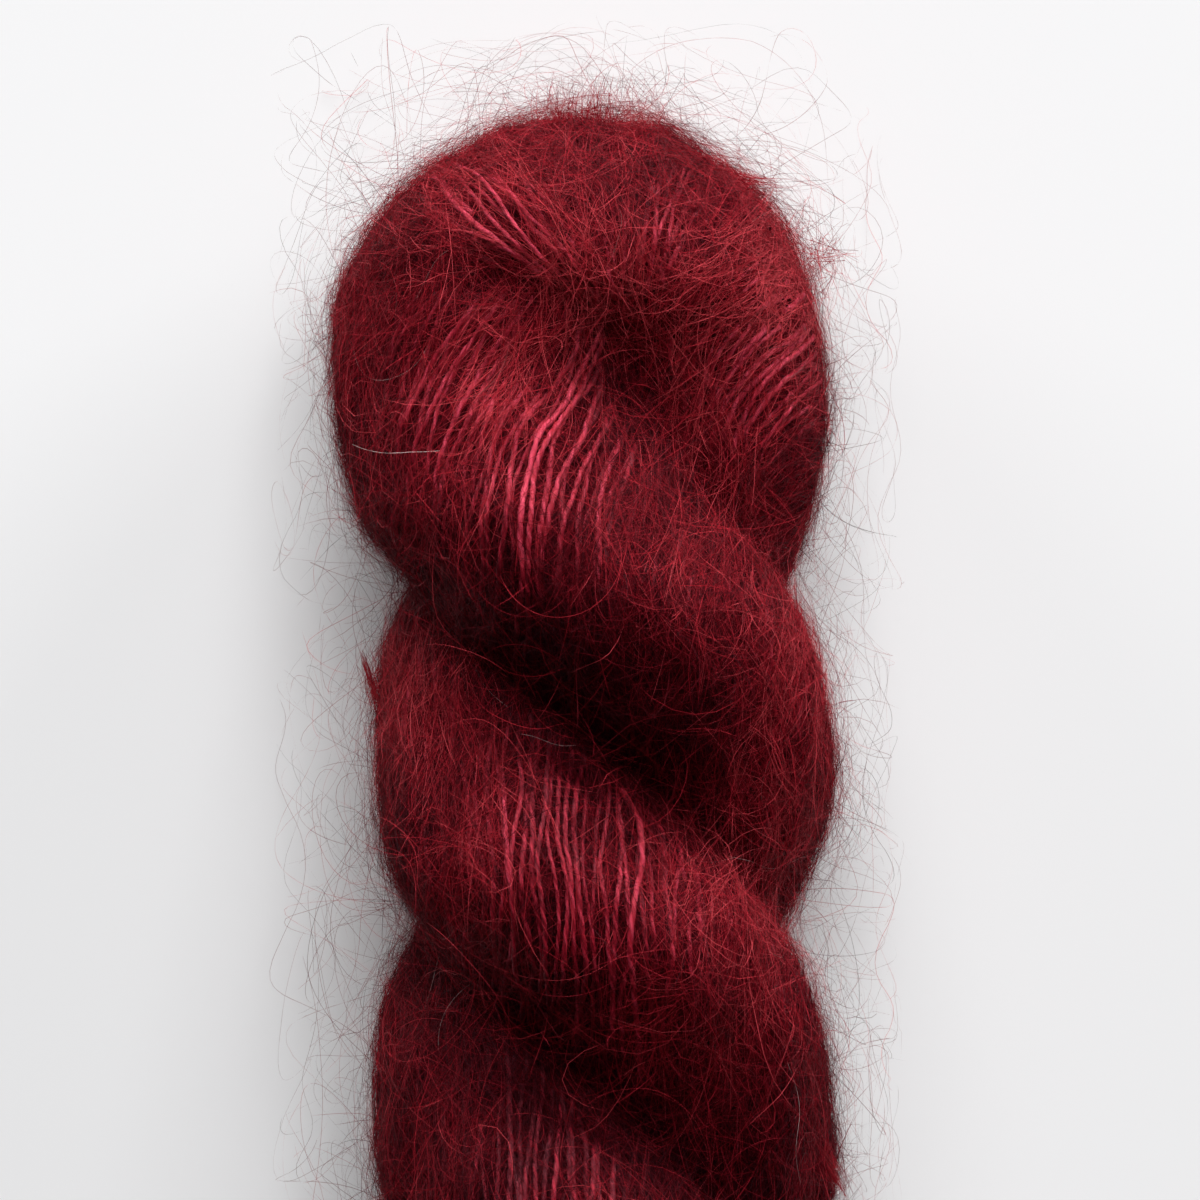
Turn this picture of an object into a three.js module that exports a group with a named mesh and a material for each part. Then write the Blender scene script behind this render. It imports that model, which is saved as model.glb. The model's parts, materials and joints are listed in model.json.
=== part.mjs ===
// A skein of mohair and silk lace yarn, folded in half and twisted up, lying on a flat surface.
// Millimetres, +Z up. The skein lies along Y, its folded head at +Y, and rests on the plane z = 0.
import * as THREE from 'three';
import { mergeVertices } from 'three/addons/utils/BufferGeometryUtils.js';

// Driving sizes
const LENGTH = 250;
const HEAD_ROUND = 34.6;
const TAIL_ROUND = 31;
const HEAD_THICKNESS_ROUND = 21;
const TAIL_THICKNESS_ROUND = 20;
const SETTLED = 1.4;

// Stations along the skein, from its head to its tail. Turn is how far the two plies have
// turned round each other, reach and height are half the width and height of a lobe, shift is
// sideways, and crease is how deep the plies meet, as a share of the reach.
const STATIONS = [
  { along: 125, turn: 171, reach: 35.0, height: 21.5, shift: -1.0, crease: 0.0 },
  { along: 104, turn: 171, reach: 35.0, height: 22.5, shift: -1.1, crease: 0.0 },
  { along: 91, turn: 166, reach: 34.8, height: 24.0, shift: -1.1, crease: 0.33 },
  { along: 76, turn: 142, reach: 34.8, height: 26.0, shift: -0.5, crease: 0.39 },
  { along: 60, turn: 91, reach: 33.6, height: 27.2, shift: 1.3, crease: 0.37 },
  { along: 37, turn: 5, reach: 32.5, height: 26.6, shift: 2.7, crease: 0.38 },
  { along: 12, turn: -89, reach: 32.6, height: 27.4, shift: 2.3, crease: 0.38 },
  { along: -8, turn: -164, reach: 31.7, height: 26.4, shift: 2.4, crease: 0.36 },
  { along: -34, turn: -254, reach: 33.6, height: 27.2, shift: 3.2, crease: 0.38 },
  { along: -58, turn: -343, reach: 32.6, height: 26.4, shift: 3.0, crease: 0.37 },
  { along: -82, turn: -434, reach: 31.8, height: 26.0, shift: 2.1, crease: 0.38 },
  { along: -99, turn: -492, reach: 31.2, height: 24.0, shift: 1.2, crease: 0.30 },
  { along: -110, turn: -508, reach: 31.0, height: 22.0, shift: 0.9, crease: 0.0 },
  { along: -125, turn: -508, reach: 31.0, height: 20.5, shift: 0.9, crease: 0.0 },
];

// Rounder plies have a fullness nearer 1, and squashed ones nearer 0. They are squashed at the
// sides and below, and on top they are rounder and part more deeply.
const PLY_FULLNESS = { squashed: 0.52, top: 0.95 };
const TOP_CREASE_DEEPENING = 1.25;

// The eye is the dimple that the fold closes round, seen from above and from below.
const EYE = { across: 6.2, along: 92, wide: 8, depthAbove: 6.4, depthBelow: 5 };

// The kink is the crease that runs from the eye to the left and parts the head from the first band.
const KINK = { along: 103.5, drop: 11.5, fade: 7, left: -30, shownFrom: -8, depth: 3.8, wide: 3.4 };

// Grid of the surface
const ROWS = 108;
const COLUMNS = 52;
const CREASE_CROWDING = 0.3;

const QUARTER = Math.PI / 2;
const toRadians = THREE.MathUtils.degToRad;

// Reads a column of the stations at a place along the skein, as a smooth curve through its rows.
function station(column, along) {
  const last = STATIONS.length - 1;
  let i = 0;
  while (i < last - 1 && along < STATIONS[i + 1].along) i += 1;
  const slopeAt = (k) => {
    const before = STATIONS[Math.max(k - 1, 0)];
    const after = STATIONS[Math.min(k + 1, last)];
    return (after[column] - before[column]) / (after.along - before.along);
  };
  const span = STATIONS[i + 1].along - STATIONS[i].along;
  const t = THREE.MathUtils.clamp((along - STATIONS[i].along) / span, 0, 1);
  const start = STATIONS[i][column] * (2 * t ** 3 - 3 * t ** 2 + 1);
  const end = STATIONS[i + 1][column] * (3 * t ** 2 - 2 * t ** 3);
  const leave = slopeAt(i) * span * (t ** 3 - 2 * t ** 2 + t);
  const arrive = slopeAt(i + 1) * span * (t ** 3 - t ** 2);
  return start + leave + end + arrive;
}

// Where a row lies: even steps along the outline, over the head's arc, down the side and round the tail.
function rowAlong(share) {
  const headArc = HEAD_ROUND * QUARTER;
  const tailArc = TAIL_ROUND * QUARTER;
  const side = LENGTH - HEAD_ROUND - TAIL_ROUND;
  const path = share * (headArc + side + tailArc);
  if (path < headArc) return LENGTH / 2 - HEAD_ROUND * (1 - Math.cos(path / HEAD_ROUND));
  if (path < headArc + side) return LENGTH / 2 - HEAD_ROUND - (path - headArc);
  const round = (path - headArc - side) / TAIL_ROUND;
  return -LENGTH / 2 + TAIL_ROUND * (1 - Math.sin(round));
}

// The share of its full size that the skein has left near an end that rounds off over a radius.
function roundedOff(along, headRound, tailRound) {
  const fromHead = THREE.MathUtils.clamp((LENGTH / 2 - along) / headRound, 0, 1);
  const fromTail = THREE.MathUtils.clamp((along + LENGTH / 2) / tailRound, 0, 1);
  return Math.sqrt(1 - (1 - fromHead) ** 2) * Math.sqrt(1 - (1 - fromTail) ** 2);
}

function bell(distance, wide) {
  return Math.exp(-((distance / wide) ** 2));
}

// How far the surface is pressed in above, at the eye and along the kink.
function pressedAbove(across, along) {
  const eye = EYE.depthAbove * bell(Math.hypot(across - EYE.across, along - EYE.along), EYE.wide);
  const kinkAlong = KINK.along - KINK.drop * Math.exp((across - EYE.across) / KINK.fade);
  const shown = THREE.MathUtils.smoothstep(across, KINK.left, KINK.shownFrom)
    * (1 - THREE.MathUtils.smoothstep(across, EYE.across - 2, EYE.across + 3));
  return eye + KINK.depth * shown * bell(along - kinkAlong, KINK.wide);
}

function pressedBelow(across, along) {
  return EYE.depthBelow * bell(Math.hypot(across + EYE.across, along - EYE.along), EYE.wide);
}

// A point of the skein's surface, by its angle round the plies and its place along the skein.
function surfacePoint(angle, along) {
  const round = angle + toRadians(station('turn', along));
  const onTop = Math.max(Math.sin(round), 0) ** 2;
  const fullness = THREE.MathUtils.lerp(PLY_FULLNESS.squashed, PLY_FULLNESS.top, onTop);
  const deepening = THREE.MathUtils.lerp(1, TOP_CREASE_DEEPENING, onTop);
  const crease = station('crease', along) * deepening * (1 - Math.abs(Math.cos(angle)) ** fullness);
  const reach = station('reach', along) * roundedOff(along, HEAD_ROUND, TAIL_ROUND);
  const height = station('height', along) * roundedOff(along, HEAD_THICKNESS_ROUND, TAIL_THICKNESS_ROUND);
  const across = station('shift', along) + reach * (1 - crease) * Math.cos(round);
  const middle = station('height', along) - SETTLED;
  const up = height * (1 - crease) * Math.sin(round);
  const share = THREE.MathUtils.clamp(2 * up / station('height', along), -1, 1);
  const pressed = share > 0 ? pressedAbove(across, along) : pressedBelow(across, along);
  return new THREE.Vector3(across, along, Math.max(middle + up - share * pressed, 0));
}

// A sphere's grid of points, wrapped over the skein. Its columns follow the plies, so that a
// crease runs along a column and stays sharp.
function skeinGeometry() {
  const geometry = new THREE.SphereGeometry(1, COLUMNS, ROWS);
  const places = geometry.getAttribute('position');
  for (let i = 0; i < places.count; i += 1) {
    const row = Math.floor(i / (COLUMNS + 1));
    const column = i % (COLUMNS + 1) % COLUMNS;
    const even = 2 * Math.PI * column / COLUMNS;
    const angle = -even - CREASE_CROWDING * Math.sin(2 * even);
    const point = surfacePoint(angle, rowAlong(row / ROWS));
    places.setXYZ(i, point.x, point.y, point.z);
  }
  geometry.deleteAttribute('normal');
  geometry.deleteAttribute('uv');
  const closed = mergeVertices(geometry, 1e-4);
  closed.computeVertexNormals();
  return closed;
}

const mohairSilk = new THREE.MeshStandardMaterial({ color: 0x8c1d2e, roughness: 0.75, metalness: 0 });

const skein = new THREE.Mesh(skeinGeometry(), mohairSilk);
skein.name = 'skein';

const part = new THREE.Group();
part.add(skein);

export default part;
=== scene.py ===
# %% [markdown]
# # A skein of mohair and silk lace yarn
#
# The real thing is a long loop of very fine yarn, reeled off, twisted, folded in half and left to
# twist round itself. Three layers make its look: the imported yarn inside, the twisted strands that
# show on its crowns, and the halo of mohair that hides nearly everything else. This lesson builds
# them in that order, round the solid form that the frame brings.

# %% The frame
import json
import math

import bmesh
import bpy
import numpy as np
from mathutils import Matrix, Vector
from mathutils.bvhtree import BVHTree

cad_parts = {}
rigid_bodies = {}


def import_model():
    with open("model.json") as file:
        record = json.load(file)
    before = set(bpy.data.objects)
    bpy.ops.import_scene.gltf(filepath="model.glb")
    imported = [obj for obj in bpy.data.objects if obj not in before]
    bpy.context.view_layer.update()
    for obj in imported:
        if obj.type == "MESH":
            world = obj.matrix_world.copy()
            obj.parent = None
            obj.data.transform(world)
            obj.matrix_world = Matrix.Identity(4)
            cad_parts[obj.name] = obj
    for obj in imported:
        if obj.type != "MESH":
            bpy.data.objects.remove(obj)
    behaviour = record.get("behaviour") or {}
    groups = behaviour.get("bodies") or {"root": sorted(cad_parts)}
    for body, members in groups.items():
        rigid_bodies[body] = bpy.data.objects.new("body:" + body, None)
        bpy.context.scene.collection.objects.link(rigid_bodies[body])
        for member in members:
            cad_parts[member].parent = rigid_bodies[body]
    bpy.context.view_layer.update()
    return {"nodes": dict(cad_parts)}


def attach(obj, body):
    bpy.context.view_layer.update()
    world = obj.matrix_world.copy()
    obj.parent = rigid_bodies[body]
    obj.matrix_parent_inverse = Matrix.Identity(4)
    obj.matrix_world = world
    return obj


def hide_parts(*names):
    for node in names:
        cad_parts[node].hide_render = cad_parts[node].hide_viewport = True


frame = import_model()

MM = 0.001
FLOOR_CLEARANCE = 0.1
chance = np.random.default_rng(20)
skein_node = frame["nodes"]["skein"]

# %% [markdown]
# ## The wound form
#
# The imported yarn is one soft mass, so its form is the CAD solid, rounded. The solid's triangles are
# joined back to quads first, because a subdivision surface rounds quads evenly and triangles badly.
# A finer copy serves as the surface that strands and hairs are laid on.

# %% A rounded copy of the solid
def rounded_form(node, levels, name):
    mesh = node.data.copy()
    form = bmesh.new()
    form.from_mesh(mesh)
    bmesh.ops.remove_doubles(form, verts=form.verts, dist=1e-6)
    bmesh.ops.join_triangles(
        form, faces=form.faces, angle_face_threshold=math.radians(50), angle_shape_threshold=math.radians(70)
    )
    form.to_mesh(mesh)
    form.free()
    source = bpy.data.objects.new(name, mesh)
    bpy.context.scene.collection.objects.link(source)
    rounding = source.modifiers.new("rounding", "SUBSURF")
    rounding.levels = levels
    settled = source.evaluated_get(bpy.context.evaluated_depsgraph_get())
    rounded = bpy.data.meshes.new_from_object(settled)
    bpy.data.objects.remove(source)
    rounded.name = name
    return rounded


def corner_places(mesh):
    places = np.empty(len(mesh.vertices) * 3)
    mesh.vertices.foreach_get("co", places)
    return places.reshape(-1, 3)


def unit(vectors):
    return vectors / np.maximum(np.linalg.norm(vectors, axis=-1, keepdims=True), 1e-9)


def corner_normals(mesh):
    normals = np.empty(len(mesh.vertices) * 3)
    mesh.vertices.foreach_get("normal", normals)
    return normals.reshape(-1, 3)


def drift(width, length, waves=16):
    """A smooth random field over space, about -1 to 1, coarser along the skein than across it, in mm."""
    tilts = unit(chance.normal(0, 1, (waves, 3)))
    pace = 2 * np.pi / np.array([width, length, width]) * chance.uniform(0.6, 1.4, (waves, 1))
    starts = chance.uniform(0, 2 * np.pi, waves)
    return lambda points: np.cos(points @ (tilts * pace).T + starts).sum(-1) / math.sqrt(waves)


def oval_patches(points, rows):
    """One value for each point and each row of a table of soft oval patches."""
    across, along, long, wide, slant, most = np.array(rows, float).T
    dx, dy = points[:, 0, None] - across, points[:, 1, None] - along
    turn = np.radians(slant)
    u = dx * np.cos(turn) + dy * np.sin(turn)
    v = -dx * np.sin(turn) + dy * np.cos(turn)
    return most * np.exp(-((u / long) ** 2) - (v / wide) ** 2)


def relaxed(mesh, points, shares, rounds):
    """Points drawn towards the middle of their neighbours, some more than others."""
    ends = np.empty(len(mesh.edges) * 2, dtype=np.int32)
    mesh.edges.foreach_get("vertices", ends)
    first, second = ends.reshape(-1, 2).T
    here, there = np.concatenate([first, second]), np.concatenate([second, first])
    neighbours = np.bincount(here, minlength=len(points))[:, None]
    for _ in range(rounds):
        sums = np.stack([np.bincount(here, points[there, k], len(points)) for k in range(3)], -1)
        points = points + (sums / neighbours - points) * shares[:, None]
    return points


# Fuzz fills the eye, and bridges the kink and the valley that leads down from the eye. Both are
# only on the upper side, above this height in mm.
UPPER_SIDE = 24
EYE_FILL = [
    # across, along, half length, half width, slant in degrees, height in mm
    (6.5, 94.0, 9, 8, 0, 4.6),
    (-1.0, 101.0, 9, 4, 155, 1.8),
]
BRIDGED = [
    # across, along, half length, half width, slant in degrees, share
    (6.2, 92.0, 9, 8, 0, 0.8),
    (-9.0, 101.5, 15, 5, 165, 0.6),
    (18.0, 77.0, 17, 7, 130, 0.9),
]

# The yarn bundles up unevenly: broad locks, and small lumps on them.
broad_locks, small_lumps = drift(13, 34), drift(6, 14)
LOCK_HEIGHT, LUMP_HEIGHT = 0.65, 0.3


def loosened(mesh, rounds):
    """The form's points in mm, bridged by fuzz and moved in and out by the unevenness of the yarn."""
    points = corner_places(mesh) / MM
    shares = oval_patches(points, BRIDGED).max(-1) * (points[:, 2] > UPPER_SIDE)
    points[:, 2] += oval_patches(points, EYE_FILL).sum(-1) * (points[:, 2] > UPPER_SIDE)
    points = relaxed(mesh, points, shares, rounds)
    uneven = LOCK_HEIGHT * broad_locks(points) + LUMP_HEIGHT * small_lumps(points)
    points = points + corner_normals(mesh) * uneven[:, None]
    points[:, 2] = np.maximum(points[:, 2], 0)
    return points


# A finer mesh needs more rounds to be drawn as far as a coarse one.
FINE_LEVELS, FINE_ROUNDS = 2, 40
fine_form = rounded_form(skein_node, FINE_LEVELS, "fine_form")
form_points = loosened(fine_form, FINE_ROUNDS)
fine_form.vertices.foreach_set("co", (form_points * MM).astype(np.float32).ravel())
fine_form.update()
form_faces = [tuple(face.vertices) for face in fine_form.polygons]
surface = BVHTree.FromPolygons([tuple(p) for p in form_points], form_faces)
face_middles = np.array([form_points[list(face)].mean(0) for face in form_faces])
face_normals = np.array([tuple(face.normal) for face in fine_form.polygons])
face_areas = np.array([face.area for face in fine_form.polygons]) / MM**2
print("faces of the fine form:", len(form_faces), "area, cm2:", round(face_areas.sum() / 100, 1))

# %% [markdown]
# ## How the plies lie
#
# The two halves of the folded hank are its plies. This short table says how far they have turned
# round each other at places along the skein, and how far they reach there, as in the solid. It tells
# which ply a point belongs to and how near it is to the crease between them.

# %% Turning of the plies
ALONG, TURN, REACH, HEIGHT, SHIFT = range(5)
SETTLED = 1.4
PLIES = np.array(
    [
        # along, turn in degrees, reach, height, shift
        (-125, -508, 31.0, 20.5, 0.9),
        (-110, -508, 31.0, 22.0, 0.9),
        (-99, -492, 31.2, 24.0, 1.2),
        (-82, -434, 31.8, 26.0, 2.1),
        (-58, -343, 32.6, 26.4, 3.0),
        (-34, -254, 33.6, 27.2, 3.2),
        (-8, -164, 31.7, 26.4, 2.4),
        (12, -89, 32.6, 27.4, 2.3),
        (37, 5, 32.5, 26.6, 2.7),
        (60, 91, 33.6, 27.2, 1.3),
        (76, 142, 34.8, 26.0, -0.5),
        (91, 166, 34.8, 24.0, -1.1),
        (104, 171, 35.0, 22.5, -1.1),
        (125, 171, 35.0, 21.5, -1.0),
    ]
)


def ply(column, along):
    """A column of the table at places along the skein, as a smooth curve through its rows."""
    rows, values = PLIES[:, ALONG], PLIES[:, column]
    slope = np.empty(len(rows))
    slope[1:-1] = (values[2:] - values[:-2]) / (rows[2:] - rows[:-2])
    slope[0] = (values[1] - values[0]) / (rows[1] - rows[0])
    slope[-1] = (values[-1] - values[-2]) / (rows[-1] - rows[-2])
    i = np.clip(np.searchsorted(rows, along) - 1, 0, len(rows) - 2)
    span = rows[i + 1] - rows[i]
    t = np.clip((along - rows[i]) / span, 0, 1)
    return (
        values[i] * (2 * t**3 - 3 * t**2 + 1)
        + values[i + 1] * (3 * t**2 - 2 * t**3)
        + slope[i] * span * (t**3 - 2 * t**2 + t)
        + slope[i + 1] * span * (t**3 - t**2)
    )


def middle_height(along):
    return ply(HEIGHT, along) - SETTLED


def ply_side(points):
    """1 or -1 on the crown of one ply or the other, and 0 in the crease between them."""
    across, along, up = points.T
    raised = (up - middle_height(along)) / ply(HEIGHT, along)
    aside = (across - ply(SHIFT, along)) / ply(REACH, along)
    return np.cos(np.arctan2(raised, aside) - np.radians(ply(TURN, along)))


def smooth_step(start, end, value):
    t = np.clip((value - start) / (end - start), 0, 1)
    return t * t * (3 - 2 * t)


# %% [markdown]
# ## Which way the yarn runs
#
# As in a rope, the strands on the crowns run along the skein, and seen from straight above they look
# straight. Round the fold they fan out from the eye, over the rim and down to the eye on the other
# side. Under the kink the first band comes out slanted and straightens further down. The underside
# is the same, turned half a turn about the skein's length.

# %% Direction of lay
EYE_ACROSS, EYE_ALONG = 6.2, 92.0
KINK_ALONG, KINK_DROP, KINK_FADE = 103.5, 11.5, 7.0
FAN_SLOPE = 1.38
# Right of the eye the middle of the fan moves on, below this height above the eye and to the right.
FAN_ABOVE, FAN_PACE, FAN_SHIFT, FAN_ASIDE = 11, 0.9, 30.0, 0.55
FAN_RIGHT, FAN_RIGHT_PACE = 18, 0.3
RIM_BLEND = 14.0
# The slanted yarn: its slant in degrees on the left and on the right, and how far down it is seen.
SLANT_LEFT, SLANT_RIGHT, SLANT_REACH = 34.0, 8.0, 50.0
SLANT_FROM, SLANT_TO = -6, 16
TAIL_START, TAIL_FULL = -97.0, -113.0


def kink_line(across):
    """Where the head's edge runs: along the kink left of the eye, and on down to the right of it."""
    left = KINK_ALONG - KINK_DROP * np.exp(np.minimum(across - EYE_ACROSS, 0) / KINK_FADE)
    right = EYE_ALONG - FAN_SLOPE * (across - EYE_ACROSS)
    return np.where(across < EYE_ACROSS, left, right)


def lay_direction(points, normals):
    """The strands' direction at each point of the surface, and 1 in the head or 0 in the bands."""
    flip = np.where(points[:, 2] > middle_height(points[:, 1]), 1.0, -1.0)[:, None] * [1, 0, 1] + [0, 1, 0]
    across, along = points[:, 0] * flip[:, 0], points[:, 1]
    up = np.abs(points[:, 2] - middle_height(along))
    facing = normals * flip
    swung = (EYE_ALONG + FAN_ABOVE - along) * FAN_PACE + np.maximum(across - FAN_RIGHT, 0) * FAN_RIGHT_PACE
    swung = np.clip(swung, 0, FAN_SHIFT) * (across > EYE_ACROSS)
    fan_across = EYE_ACROSS * smooth_step(0, RIM_BLEND, up) + FAN_ASIDE * swung
    away = np.stack([across - fan_across, along - EYE_ALONG + swung, 0 * along], -1)
    ring = unit(np.stack([-away[:, 1], away[:, 0], 0 * along], -1))
    fan = unit(np.cross(ring, facing))

    on_top = smooth_step(0.15, 0.5, facing[:, 2])[:, None]
    plumb = unit(np.cross(facing, [1.0, 0, 0]))
    pulled = unit(np.array([0, 1, 0]) - facing * facing[:, 1:2])
    straight = unit(plumb * on_top + pulled * (1 - on_top))
    under_kink = kink_line(across) - along
    slant = SLANT_LEFT + (SLANT_RIGHT - SLANT_LEFT) * smooth_step(SLANT_FROM, SLANT_TO, across)
    slant = np.radians(slant * (1 - smooth_step(0, 1, under_kink / SLANT_REACH)))[:, None]
    band = straight * np.cos(slant) + np.cross(straight, facing) * np.sin(slant)

    tail_wrap = unit(np.cross(np.array([1.0, 0, 0]), facing))
    tail_wrap *= np.where((tail_wrap * band).sum(-1) < 0, -1, 1)[:, None]
    tail = smooth_step(TAIL_START, TAIL_FULL, along)[:, None]
    band = unit(band * (1 - tail) + tail_wrap * tail)

    band *= np.where((band * fan).sum(-1) < 0, -1, 1)[:, None]
    soft = 1.0 + 8 * smooth_step(-20, -34, across)
    head = smooth_step(-1, 1, -under_kink / soft)[:, None]
    return unit(fan * head + band * (1 - head)) * flip, head[:, 0] > 0.5


FAN_RADIUS = 26.0
SLANTED_DOWN_TO = 24.0
SLANT_PLACE = math.radians(32)


def lay_places(points):
    """Three sets of coordinates, in mm, whose last axis runs along the lay: straight, slanted and fanned."""
    across, along, up = points.T
    flip = np.where(up > middle_height(along), 1.0, -1.0)
    straight = np.stack([across, up, along], -1)
    slanted = np.stack(
        [
            across * math.cos(SLANT_PLACE) - flip * along * math.sin(SLANT_PLACE),
            up,
            flip * across * math.sin(SLANT_PLACE) + along * math.cos(SLANT_PLACE),
        ],
        -1,
    )
    dx, dy = across - flip * EYE_ACROSS, along - EYE_ALONG
    round_eye = np.arctan2(dy, dx)
    fanned = np.stack(
        [np.cos(round_eye) * FAN_RADIUS, np.sin(round_eye) * FAN_RADIUS, np.hypot(dx, dy) - up], -1
    )
    return straight, slanted, fanned


def lay_zones(points, normals):
    """Which points lie in the head, and which in the slanted yarn just under the kink."""
    in_head = lay_direction(points, normals)[1]
    under_kink = kink_line(points[:, 0]) - points[:, 1]
    slanting = (points[:, 0] < EYE_ACROSS - 3) & (under_kink < SLANTED_DOWN_TO) & (normals[:, 2] > -0.2)
    return in_head, slanting & ~in_head


face_lay, face_in_head = lay_direction(face_middles, face_normals)
# Above this place the fold joins the plies, and there is no crease.
FOLD_FROM = 97
face_side = np.where(face_middles[:, 1] > FOLD_FROM, 1.0, ply_side(face_middles))
print("faces in the head:", int(face_in_head.sum()))

# %% [markdown]
# ## Where the silk shows through
#
# The halo is thin where the yarn is pulled tight over a crown, and there the strands lie bare and
# bright. Everywhere else they are sunk in mohair. These patches steer three things: how deep the
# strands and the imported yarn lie, how finely the strands are built, and how thickly hairs grow.

# %% Bare patches
BARE_PATCHES = [
    # across, along, half length, half width, slant in degrees, bareness
    (-13, 110.5, 9, 4.5, 143, 0.85),
    (11, 108.5, 8, 3, 77, 0.75),
    (25, 90, 9, 7, 35, 0.9),
    (-20, 86, 13, 7, 70, 0.85),
    (-5, 75, 20, 8, 68, 1.0),
    (-2.5, 17, 20, 12.5, 90, 0.95),
    (-4, -23, 11, 9, 90, 0.85),
    (1, -70, 13, 11, 90, 0.8),
]


patchiness = drift(4, 16)


def bareness(points, normals):
    """How far the silk shows through at each point, from 0 to 1, on the upper side."""
    worn = oval_patches(points, BARE_PATCHES).max(-1) * (normals[:, 2] > 0.2)
    return np.clip(worn * (1.0 + 0.25 * patchiness(points)), 0, 1)


face_bare = bareness(face_middles, face_normals)
print("bare share of the surface:", round(float((face_bare * face_areas).sum() / face_areas.sum()), 3))

# %% [markdown]
# ## Where the strands go
#
# Each strand is followed over the surface, step by step, until it dives into a crease or the eye,
# or comes too near its neighbour. New strands start beside old ones, so they lie side by side as
# they were reeled, with small gaps, and a few cross.

# %% Following the strands
STEP = 0.5
STRAND_GAP = 1.32
SHORTEST = 6.0
MOST_STEPS = 520
STRAND_SEEDS = 2600
# A strand ends where it turns more sharply than this cosine, or this near the eye, in mm.
SHARPEST, EYE_RADIUS = 0.8, 3
# Shares of the gap: strands nearer than this are too near to start, or to go on, side by side.
START_CLEAR, GO_ON_CLEAR = 0.85, 0.62


def follow(start, sign, kept):
    """Points, normals and faces of one strand, one way from its start."""
    path = []
    place, heading = Vector(start), None
    crowded = 0
    while len(path) < MOST_STEPS:
        found, normal, face, _ = surface.find_nearest(place)
        lay = Vector(face_lay[face])
        lay = (lay - normal * lay.dot(normal)).normalized()
        if heading is None:
            heading, in_head, side = lay * sign, face_in_head[face], face_side[face]
        lay = lay if lay.dot(heading) > 0 else -lay
        eye = math.hypot(abs(found.x) - EYE_ACROSS, found.y - EYE_ALONG)
        left_its_ply = face_in_head[face] != in_head or face_side[face] * side < 0
        if lay.dot(heading) < SHARPEST or left_its_ply or eye < EYE_RADIUS:
            break
        crowded = crowded + 1 if is_crowded(found, kept, STRAND_GAP * GO_ON_CLEAR) else 0
        if crowded > 3:
            break
        path.append((tuple(found), tuple(normal), face))
        heading, place = lay, found + lay * STEP
    return path


def cell_of(point):
    return int(point[0] // 2 + 100), int(point[1] // 2 + 100), int(point[2] // 2 + 100)


def is_crowded(point, kept, gap):
    cx, cy, cz = cell_of(point)
    for ix in (cx - 1, cx, cx + 1):
        for iy in (cy - 1, cy, cy + 1):
            for iz in (cz - 1, cz, cz + 1):
                for other in kept.get((ix, iy, iz), ()):
                    dx, dy, dz = other[0] - point[0], other[1] - point[1], other[2] - point[2]
                    if dx**2 + dy**2 + dz**2 < gap * gap:
                        return True
    return False


def lay_strands():
    kept, strands, waiting = {}, [], []
    scattered = chance.choice(len(face_middles), STRAND_SEEDS, p=face_areas / face_areas.sum())
    for seed in scattered:
        waiting.append(face_middles[seed])
        while waiting:
            start = waiting.pop()
            start = surface.find_nearest(Vector(start))[0]
            if is_crowded(start, kept, STRAND_GAP * START_CLEAR):
                continue
            back, onward = follow(start, -1, kept), follow(start, 1, kept)
            path = back[:0:-1] + onward
            if len(path) * STEP < SHORTEST:
                continue
            for found, _, _ in path[::2]:
                kept.setdefault(cell_of(found), []).append(found)
            strands.append(path)
            for k in range(4, len(path), 16):
                here, normal, face = path[k]
                beside = np.cross(normal, face_lay[face])
                for way in (-1, 1):
                    waiting.append(np.array(here) + beside * way * STRAND_GAP * chance.uniform(0.95, 1.25))
    return strands


strand_paths = lay_strands()
strand_length = sum(len(path) for path in strand_paths) * STEP
print("strands:", len(strand_paths), "together, m:", round(strand_length / 1000, 1))

# %% [markdown]
# ## The twisted strand
#
# A lace yarn is two thin plies, one of silk and one of mohair on silk, twisted together about once
# in 4.8 mm. A tube with a round section would look like wire, so the section is waisted, like an 8,
# and turns as it goes along: its two lobes are the plies. It could be two tubes each, but one turning
# section gives the same look for half the faces. Strands in the bare patches, which are seen best,
# have short steps and eight sides; the others are sunk in fuzz, and four sides and long steps will do.

# %% Uneven dye, and painted light and shade
# Yarn dyed by hand takes the dye unevenly. The tone is also darker towards the tail.
dye_drift = drift(38, 60)
DYE_DRIFT = 0.09
DEEPER_AT, LIGHTER_AT, DEEPENING = -30.0, 70.0, 0.3
# In the creases, which end at the eye, the yarn is painted darker: painted shade.
CREASE_SHADE, CREASE_END = 0.5, 92
# Soft patches on the upper side that make the tone lighter or deeper: partly uneven dye, partly painted light
# and shade.
DYE_AND_LIGHT_PATCHES = [
    # across, along, half length, half width, slant in degrees, lighter by
    (1, 101.5, 10, 5, 155, 0.5),
    (6, 91.5, 6, 4, 130, -0.35),
    (16, 96, 7, 7, 0, 0.3),
    (15, 81, 13, 6, 130, 0.4),
    (-17, 103.5, 10, 2.5, 175, -0.5),
    (-15, 111, 9, 5, 143, 0.15),
    (4, 117, 12, 7, 0, -0.25),
    (26.5, 100, 9, 8, 60, 0.68),
    (-30, 78, 11, 6, 90, -0.3),
    (-24, 28, 9, 6, 90, -0.5),
    (0, 24, 10, 9, 90, -0.15),
    (29.5, 47, 11, 6, 90, 0.5),
    (-5, 75, 20, 8, 68, 0.1),
    (-13, 28, 7, 5, 90, 0.3),
    (-24, -12, 8, 7, 90, -0.15),
    (-22.5, 46, 11, 8, 90, 0.4),
    (25, 20, 10, 7, 90, 0.68),
    (24, 0, 12, 8, 90, 0.2),
    (-3, 50, 19, 8, 140, -0.5),
    (-18, 62, 10, 7, 140, -0.25),
    (19, 42, 9, 8, 0, -0.4),
    (-4, -20, 10, 8, 0, -0.4),
]


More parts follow.
